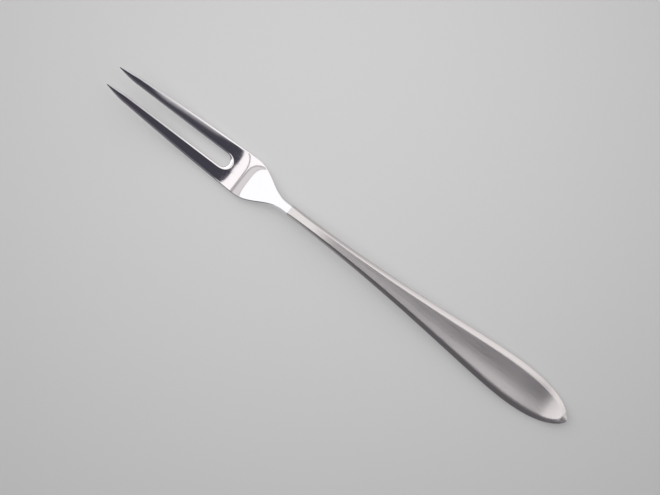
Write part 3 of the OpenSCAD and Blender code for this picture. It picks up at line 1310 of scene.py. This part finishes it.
@dataclass
class Studio:
    """Pale table, a room of soft panels, and the camera above, with sizes in millimetres.

    Directions in the room have three parts: ahead, towards the tines' points, left and up.
    """

    # Turn of the fork's axis in the picture, from the picture's right towards its top
    fork_turn: float = 142.67
    # Point that the middle of the picture shows, just above the table, and the picture's width there
    look_at: Point = (3.46, 1.96, 4.0)
    picture_w: float = 243.8
    lens: float = 200.0
    sensor: float = 36.0
    table_size: float = 6000.0
    # How far beyond the middle of the picture the painted pool of light on the table is lightest
    painted_light_beyond: float = 69.0
    panel_size: tuple[float, float] = (2000.0, 1500.0)
    panel_place: Point = (1350.0, 0.0, 1200.0)
    panel_power: float = 10.0
    sky_strength: float = 1.25
    # Tone of the room from the right of the fork, at -1, to its left, at 1
    sides: tuple[tuple[float, str], ...] = (
        (-0.9, "#AEACAC"),
        (-0.6, "#C2C0C0"),
        (-0.35, "#FAF8F8"),
        (-0.15, "#DAD8DA"),
        (-0.1, "#403E46"),
        (0.15, "#403E46"),
        (0.28, "#8E8C92"),
        (0.5, "#8E8C92"),
        (0.72, "#5A585C"),
    )
    # How far these bands slant, the place behind the fork from which they run straight, and how
    # much further round the right side lies there
    side_slant: float = 0.2
    slant_to: float = -0.15
    side_wrap: float = 4.0
    # Panels overhead, from the dark room behind the fork to the white wall beyond its points and
    # the greyer one at the table's height
    edges: tuple[PanelEdge, ...] = (
        PanelEdge(0.008, 0.0, "#FFFAFA", bow=0.6),
        PanelEdge(0.093, -0.6, "#A29D9E"),
        PanelEdge(0.109, -0.6, "#FFFBFB"),
        PanelEdge(0.11, 1.0, "#A6A1A2"),
        PanelEdge(0.13, 1.0, "#D6D1D2"),
        PanelEdge(0.2, 0.45, "#BEB9BA"),
        PanelEdge(0.21, 0.45, "#FFFFFF"),
        PanelEdge(0.5, 0.3, "#B6B3B4"),
    )
    edge_blur: float = 0.002
    # How far towards the sides an edge bows
    bow_reach: float = 0.2
    # The white wall ends on the left between these, and the room is pale below these heights
    wall_end: tuple[float, float] = (0.3, 0.6)
    sky_pale: str = "#B8B8B8"
    pale_from: tuple[float, float] = (0.36, 0.12)
    # How much higher the pale part reaches behind the fork
    pale_lean: float = 0.42
    ROOM: ClassVar[tuple[Sum, ...]] = (
        Sum("slanting", "MAXIMUM", ("ahead", "slant_to")),
        Sum("leaning", "MULTIPLY_ADD", ("slanting", "side_slant", "left")),
        Sum("right", "MINIMUM", ("left", "none")),
        Sum("behind", "MINIMUM", ("ahead", "none")),
        Sum("far right", "MULTIPLY", ("right", "right")),
        Sum("corner", "MULTIPLY", ("far right", "behind")),
        Sum("side", "MULTIPLY_ADD", ("corner", "side_wrap", "leaning")),
        Sum("height", "MULTIPLY_ADD", ("behind", "pale_lean", "up")),
        Sum("sideways", "MULTIPLY", ("left", "left")),
        Sum("aside", "MINIMUM", ("sideways", "bow_most")),
    )
    # The part towards the right is negative, so an edge's slant moves it further there
    EDGE: ClassVar[tuple[Sum, ...]] = (
        Sum("bowed", "MULTIPLY_ADD", ("aside", "bow", "ahead")),
        Sum("reach", "MULTIPLY_ADD", ("right", "slant", "bowed")),
    )

    @property
    def right(self) -> Vector:
        """Direction in the frame of the picture's right."""
        a = math.radians(self.fork_turn)
        return Vector((math.cos(a), -math.sin(a), 0))

    @property
    def far(self) -> Vector:
        """Direction in the frame of the picture's top."""
        a = math.radians(self.fork_turn)
        return Vector((math.sin(a), math.cos(a), 0))

    def camera(self) -> None:
        """Camera straight above the fork, turned as in the photograph."""
        data = bpy.data.cameras.new("camera")
        data.lens, data.sensor_width = self.lens, self.sensor
        camera = place_object("camera", data)
        up = Vector((0, 0, 1))
        turn = Matrix((self.right, self.far, up)).transposed().to_4x4()
        away = self.picture_w * self.lens / self.sensor
        camera.matrix_world = Matrix.Translation((Vector(self.look_at) + up * away) * MM) @ turn
        bpy.context.scene.camera = camera

    def table(self) -> None:
        """Table of matt paper, with a painted pool of light that is lightest a little beyond the fork."""
        half = self.table_size / 2 * MM
        mesh = bpy.data.meshes.new("table")
        corners = [(-half, -half, 0), (half, -half, 0), (half, half, 0), (-half, half, 0)]
        mesh.from_pydata(corners, [], [(0, 1, 2, 3)])
        # Middle of the painted pool of light on the table
        lightest = (Vector(self.look_at) + self.far * self.painted_light_beyond) * MM
        mesh.materials.append(MattPaper().make(lightest))
        place_object("table", mesh)

    def panel(self) -> None:
        """Large soft panel beyond the points of the tines."""
        data = bpy.data.lights.new("soft_panel", "AREA")
        data.shape = "RECTANGLE"
        data.size, data.size_y = (side * MM for side in self.panel_size)
        data.energy = self.panel_power
        panel = place_object("soft_panel", data)
        place = Vector(self.panel_place) * MM
        panel.location = place
        panel.rotation_mode = "QUATERNION"
        panel.rotation_quaternion = (-place).to_track_quat("-Z", "Y")

    def sky(self) -> None:
        """Room: panels overhead, walls beyond the points, dark behind, pale near the table."""
        world = bpy.data.worlds.new("studio")
        bpy.context.scene.world = world
        tree = empty_tree(world)
        way = add_node(tree, "ShaderNodeTexCoord").outputs["Generated"]
        ahead, left, up = add_node(tree, "ShaderNodeSeparateXYZ", inputs={0: way}).outputs
        parts = {"ahead": ahead, "left": left, "up": up, "none": 0.0, "bow_most": self.bow_reach**2}
        found = add_sums(tree, self.ROOM, {**vars(self), **parts})
        across = {"Value": found["side"], "From Min": -1.0, "From Max": 1.0}
        share = add_node(tree, "ShaderNodeMapRange", inputs=across).outputs["Result"]
        ramp = add_node(tree, "ShaderNodeValToRGB", inputs={"Fac": share})
        stops = ramp.color_ramp.elements
        while len(stops) < len(self.sides):
            stops.new(1.0)
        for stop, (at, colour) in zip(stops, self.sides):
            stop.position = (at + 1) / 2
            stop.color = linear(colour)
        tone = ramp.outputs["Color"]
        for edge in self.edges:
            reach = add_sums(tree, self.EDGE, {**found, **vars(edge)})["reach"]
            span = (edge.forward - self.edge_blur, edge.forward + self.edge_blur)
            tone = fade(tree, Fade.EVEN, reach, span, (tone, linear(edge.tone)))
        tone = fade(tree, Fade.SOFT, found["height"], self.pale_from, (tone, linear(self.sky_pale)))
        tone = fade(tree, Fade.SOFT, left, self.wall_end, (tone, linear(self.sides[-1][1])))
        light = {"Color": tone, "Strength": self.sky_strength}
        room = add_node(tree, "ShaderNodeBackground", inputs=light)
        add_node(tree, "ShaderNodeOutputWorld", inputs={"Surface": room.outputs[0]})


def main() -> None:
    """Build the studio and the fork, and report each piece."""
    logging.basicConfig(level=logging.INFO, format="%(name)s: %(message)s")
    bpy.context.scene.view_settings.view_transform = "Standard"
    studio = Studio()
    for make in (studio.camera, studio.table, studio.panel, studio.sky):
        make()
    side = SideView.from_frame()
    head = ForkHead.from_frame(side)
    head_piece = head.build()
    head.dress(head_piece, PolishedSteel().make())
    handle = Handle.from_frame(side)
    handle_piece = handle.build(SatinSteel().make())
    handle.dress(handle_piece)
    for piece in (head_piece, handle_piece):
        LOG.info("%s has %d faces", piece.name, len(piece.data.polygons))


if __name__ == "__main__":
    main()
